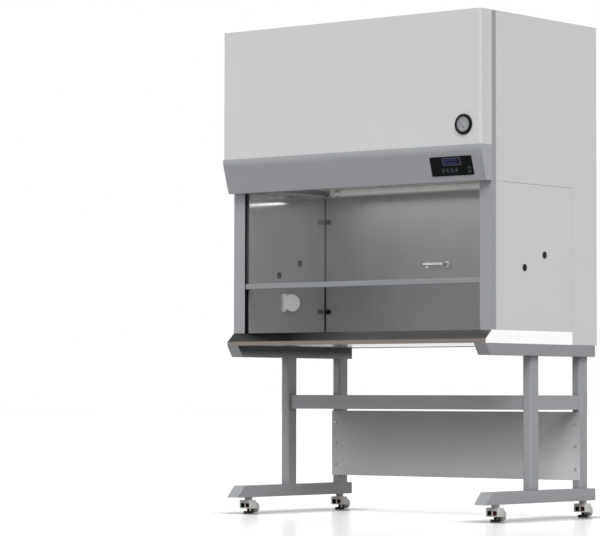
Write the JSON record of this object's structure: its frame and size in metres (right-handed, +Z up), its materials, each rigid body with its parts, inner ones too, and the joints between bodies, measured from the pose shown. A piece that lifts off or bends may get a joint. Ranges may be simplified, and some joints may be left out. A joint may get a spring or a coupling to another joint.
{
  "type": "biosafety cabinet",
  "caption": "Free-standing microbiological safety cabinet with a sliding glass sash over a stainless work chamber, on an open frame stand with levelling casters.",
  "frame": {"origin": "middle of the footprint, on the floor", "axes": "+Z up, -Y towards the user, +X to the right seen from behind the controls"},
  "size_m": [1.305, 0.809, 1.974],
  "materials": {
    "white": "white powder coat, satin",
    "grey": "mid grey powder coat, satin",
    "stand_grey": "mid grey powder coat, satin",
    "stainless": "brushed stainless",
    "galvanised": "galvanised sheet",
    "black_plastic": "black moulded plastic",
    "panel_black": "black membrane",
    "key_grey": "dark grey keys",
    "lcd": "blue violet display",
    "dial": "pale printed dial",
    "needle": "black needle",
    "clear": "clear cover",
    "sash_glass": "warm tinted safety glass",
    "aluminium": "grey anodised",
    "lamp": "opal fluorescent tube",
    "lamp_white": "white enamel",
    "filter": "pleated glass paper in a frame",
    "iron": "bare cast",
    "motor": "black enamel",
    "ivory": "off-white nylon",
    "wheel": "black nylon",
    "foot": "black rubber pad, red-brown winding ring",
    "light_grey": "light grey plastic",
    "bolt": "zinc plated"
  },
  "bodies": {
    "cabinet": {"side_panels": "white", "lower_side_panels": "white", "front_pillars": "grey", "top_panel": "white", "rear_panel": "white", "front_cover": "white", "control_band": "grey", "base_pan": "stainless", "front_grille": "stainless", "work_tray": "stainless", "inner_walls": "stainless", "back_baffle": "stainless", "baffle_handle": "stainless", "baffle_knobs": "stainless", "ceiling_diffuser": "lamp_white", "lamp_batten": "lamp_white", "lamp_tube": "lamp", "port_plugs": "black_plastic", "sash_guides": "black_plastic", "weight_guides": "galvanised", "plenum_box": "galvanised", "hepa_filters": "filter", "blower_housing": "galvanised", "blower_motor": "motor", "control_panel": "panel_black", "lcd_display": "lcd", "gauge_case": "black_plastic", "gauge_dial": "dial", "gauge_lens": "clear", "socket_box": "light_grey", "stand_top_beams": "stand_grey", "stand_foot_beams": "stand_grey", "stand_legs": "stand_grey", "stand_rails": "stand_grey", "privacy_panel": "stand_grey", "panel_bolts": "bolt"},
    "sash": {"sash_glass": "sash_glass", "sash_rails": "aluminium"},
    "counterweights": {"counterweights": "iron"},
    "blower_impeller": {"blower_impeller": "aluminium"},
    "gauge_needle": {"gauge_needle": "needle"},
    "socket_cover": {"socket_cover": "light_grey"},
    "key_fan": {"key_fan": "key_grey"},
    "key_lamp": {"key_lamp": "key_grey"},
    "key_socket": {"key_socket": "key_grey"},
    "key_mute": {"key_mute": "key_grey"},
    "key_up": {"key_up": "key_grey"},
    "key_down": {"key_down": "key_grey"},
    "caster_housing_front_left": {"caster_housing_front_left": "ivory"},
    "caster_wheel_front_left": {"caster_wheel_front_left": "wheel"},
    "caster_foot_front_left": {"caster_foot_front_left": "foot"},
    "caster_housing_rear_left": {"caster_housing_rear_left": "ivory"},
    "caster_wheel_rear_left": {"caster_wheel_rear_left": "wheel"},
    "caster_foot_rear_left": {"caster_foot_rear_left": "foot"},
    "caster_housing_front_right": {"caster_housing_front_right": "ivory"},
    "caster_wheel_front_right": {"caster_wheel_front_right": "wheel"},
    "caster_foot_front_right": {"caster_foot_front_right": "foot"},
    "caster_housing_rear_right": {"caster_housing_rear_right": "ivory"},
    "caster_wheel_rear_right": {"caster_wheel_rear_right": "wheel"},
    "caster_foot_rear_right": {"caster_foot_rear_right": "foot"}
  },
  "joints": [
    {"name": "sash_slide", "type": "slide", "parent": "cabinet", "child": "sash", "axis": [0, 0, 1], "range_m": [-0.174, 0.36]},
    {"name": "counterweight_slide", "type": "slide", "parent": "cabinet", "child": "counterweights", "axis": [0, 0, 1], "range_m": [-0.36, 0.175]},
    {"name": "blower_spin", "type": "hinge", "parent": "cabinet", "child": "blower_impeller", "pos_m": [0, 0.1005, 1.668], "axis": [0, -1, 0], "continuous": true},
    {"name": "gauge_needle_turn", "type": "hinge", "parent": "cabinet", "child": "gauge_needle", "pos_m": [0.5695, -0.401, 1.517], "axis": [0, -1, 0], "range_deg": [-80, 0], "stiffness_Nm_per_rad": 0.002, "springref_deg": 11.46},
    {"name": "socket_cover_hinge", "type": "hinge", "parent": "cabinet", "child": "socket_cover", "pos_m": [-0.5825, -0.081, 0.871], "axis": [0, 0, -1], "range_deg": [-20, 80]},
    {"name": "key_fan_press", "type": "slide", "parent": "cabinet", "child": "key_fan", "axis": [0, -0.9565, -0.2918], "range_m": [-0.0008, 0], "stiffness_N_per_m": 400, "springref_m": 0.0002},
    {"name": "key_lamp_press", "type": "slide", "parent": "cabinet", "child": "key_lamp", "axis": [0, -0.9565, -0.2918], "range_m": [-0.0008, 0], "stiffness_N_per_m": 400, "springref_m": 0.0002},
    {"name": "key_socket_press", "type": "slide", "parent": "cabinet", "child": "key_socket", "axis": [0, -0.9565, -0.2918], "range_m": [-0.0008, 0], "stiffness_N_per_m": 400, "springref_m": 0.0002},
    {"name": "key_mute_press", "type": "slide", "parent": "cabinet", "child": "key_mute", "axis": [0, -0.9565, -0.2918], "range_m": [-0.0008, 0], "stiffness_N_per_m": 400, "springref_m": 0.0002},
    {"name": "key_up_press", "type": "slide", "parent": "cabinet", "child": "key_up", "axis": [0, -0.9565, -0.2918], "range_m": [-0.0008, 0], "stiffness_N_per_m": 400, "springref_m": 0.0002},
    {"name": "key_down_press", "type": "slide", "parent": "cabinet", "child": "key_down", "axis": [0, -0.9565, -0.2918], "range_m": [-0.0008, 0], "stiffness_N_per_m": 400, "springref_m": 0.0002},
    {"name": "swivel_front_left", "type": "hinge", "parent": "cabinet", "child": "caster_housing_front_left", "pos_m": [-0.6215, -0.267, 0.05], "axis": [0, 0, 1], "continuous": true},
    {"name": "wheel_spin_front_left", "type": "hinge", "parent": "caster_housing_front_left", "child": "caster_wheel_front_left", "pos_m": [-0.6215, -0.227, 0.023], "axis": [1, 0, 0], "continuous": true},
    {"name": "foot_wind_front_left", "type": "slide", "parent": "caster_housing_front_left", "child": "caster_foot_front_left", "axis": [0, 0, 1], "range_m": [0, 0.006]},
    {"name": "swivel_rear_left", "type": "hinge", "parent": "cabinet", "child": "caster_housing_rear_left", "pos_m": [-0.6215, 0.339, 0.05], "axis": [0, 0, 1], "continuous": true},
    {"name": "wheel_spin_rear_left", "type": "hinge", "parent": "caster_housing_rear_left", "child": "caster_wheel_rear_left", "pos_m": [-0.6215, 0.379, 0.023], "axis": [1, 0, 0], "continuous": true},
    {"name": "foot_wind_rear_left", "type": "slide", "parent": "caster_housing_rear_left", "child": "caster_foot_rear_left", "axis": [0, 0, 1], "range_m": [0, 0.006]},
    {"name": "swivel_front_right", "type": "hinge", "parent": "cabinet", "child": "caster_housing_front_right", "pos_m": [0.6215, -0.267, 0.05], "axis": [0, 0, 1], "continuous": true},
    {"name": "wheel_spin_front_right", "type": "hinge", "parent": "caster_housing_front_right", "child": "caster_wheel_front_right", "pos_m": [0.6215, -0.227, 0.023], "axis": [1, 0, 0], "continuous": true},
    {"name": "foot_wind_front_right", "type": "slide", "parent": "caster_housing_front_right", "child": "caster_foot_front_right", "axis": [0, 0, 1], "range_m": [0, 0.006]},
    {"name": "swivel_rear_right", "type": "hinge", "parent": "cabinet", "child": "caster_housing_rear_right", "pos_m": [0.6215, 0.339, 0.05], "axis": [0, 0, 1], "continuous": true},
    {"name": "wheel_spin_rear_right", "type": "hinge", "parent": "caster_housing_rear_right", "child": "caster_wheel_rear_right", "pos_m": [0.6215, 0.379, 0.023], "axis": [1, 0, 0], "continuous": true},
    {"name": "foot_wind_rear_right", "type": "slide", "parent": "caster_housing_rear_right", "child": "caster_foot_rear_right", "axis": [0, 0, 1], "range_m": [0, 0.006]}
  ],
  "couplings": [
    {"joint": "counterweight_slide", "follows": "sash_slide", "ratio": -1}
  ]
}
